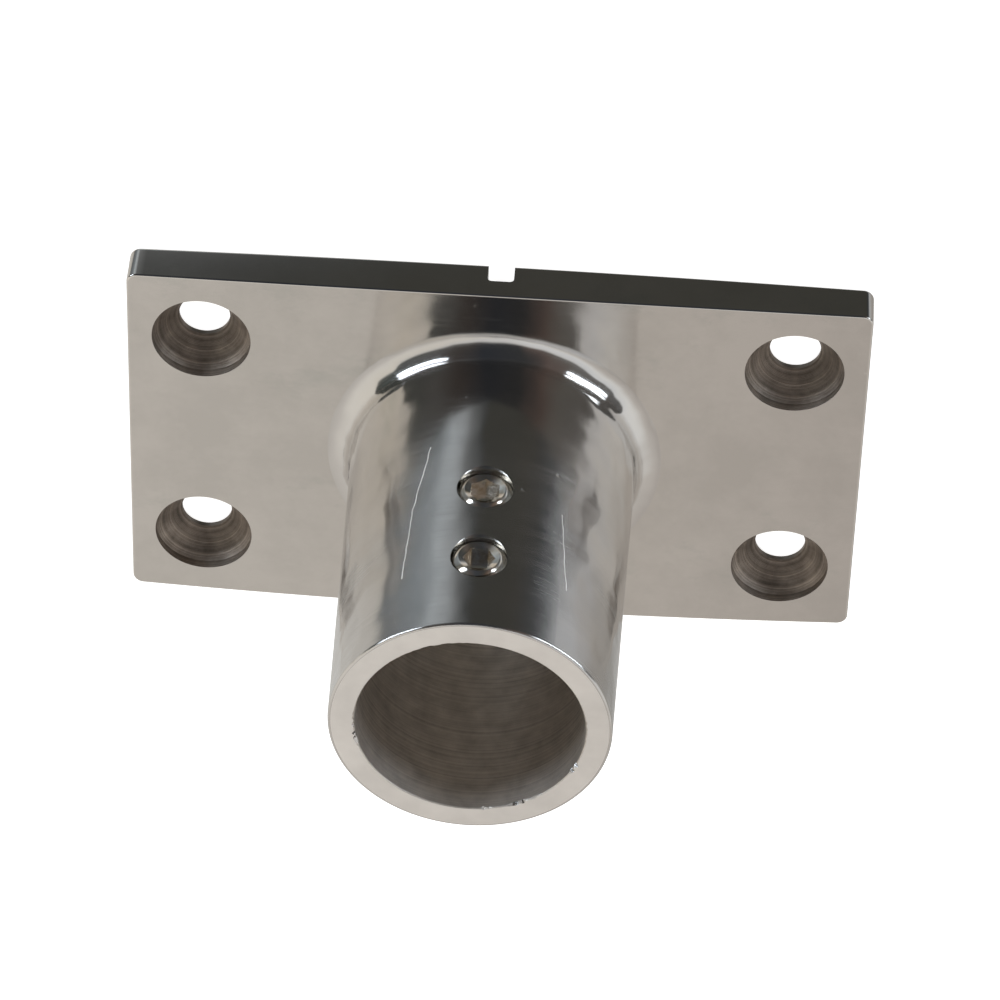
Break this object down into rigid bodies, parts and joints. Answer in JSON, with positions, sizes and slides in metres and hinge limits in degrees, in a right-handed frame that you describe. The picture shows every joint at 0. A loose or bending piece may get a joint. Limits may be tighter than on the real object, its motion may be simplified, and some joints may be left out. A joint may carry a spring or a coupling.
{
  "type": "stanchion base",
  "caption": "Polished rectangular deck base with an upright round tube socket, countersunk corner holes and set screws that clamp the tube.",
  "frame": {"origin": "centre of the mounting face, on the socket's axis", "axes": "+Z along the socket's axis and out of its mouth, X along the plate's length, and the set screws on the -Y side"},
  "size_m": [0.085, 0.0492, 0.05],
  "materials": {
    "polished_casting": "mirror polished, with the mouth left satin and the holes as machined",
    "screw_steel": "bright turned"
  },
  "bodies": {
    "casting": {"base_casting": "polished_casting"},
    "upper_screw": {"set_screw_upper": "screw_steel"},
    "lower_screw": {"set_screw_lower": "screw_steel"}
  },
  "joints": [
    {"name": "upper_screw_travel", "type": "slide", "parent": "casting", "child": "upper_screw", "axis": [0, 1, 0], "range_m": [-0.0025, 0.001]},
    {"name": "lower_screw_travel", "type": "slide", "parent": "casting", "child": "lower_screw", "axis": [0, 1, 0], "range_m": [-0.0025, 0.001]}
  ]
}
